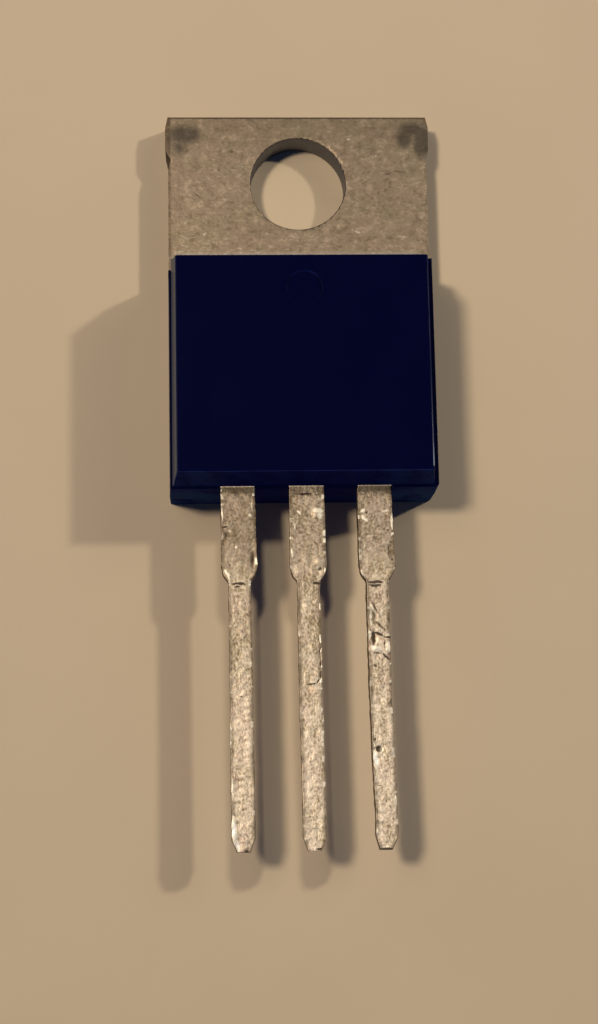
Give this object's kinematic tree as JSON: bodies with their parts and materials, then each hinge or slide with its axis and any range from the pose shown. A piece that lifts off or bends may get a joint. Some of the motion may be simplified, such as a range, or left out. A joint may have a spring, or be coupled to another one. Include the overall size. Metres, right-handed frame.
{
  "type": "power mosfet",
  "caption": "Three-lead power transistor package with a flat metal mounting tab, a screw hole and a drafted black epoxy body.",
  "frame": {"origin": "centre of the tab's screw hole, on the flat back face of the tab", "axes": "+Z out of the front face, along the screw hole; +Y towards the tab's free end; +X to the right, towards the source lead, with the leads pointing along -Y"},
  "size_m": [0.0104, 0.0283, 0.0045],
  "materials": {
    "tinned_copper": "matte",
    "black_epoxy": "satin",
    "silicon": "polished",
    "solder": "satin",
    "aluminium_wire": "satin"
  },
  "bodies": {
    "root": {"drain_leadframe": "tinned_copper", "gate_lead": "tinned_copper", "source_lead": "tinned_copper", "moulded_body": "black_epoxy", "silicon_die": "silicon", "die_attach_solder": "solder", "gate_bond_wire": "aluminium_wire", "source_bond_wire_1": "aluminium_wire", "source_bond_wire_2": "aluminium_wire", "source_bond_wire_3": "aluminium_wire"}
  },
  "joints": []
}
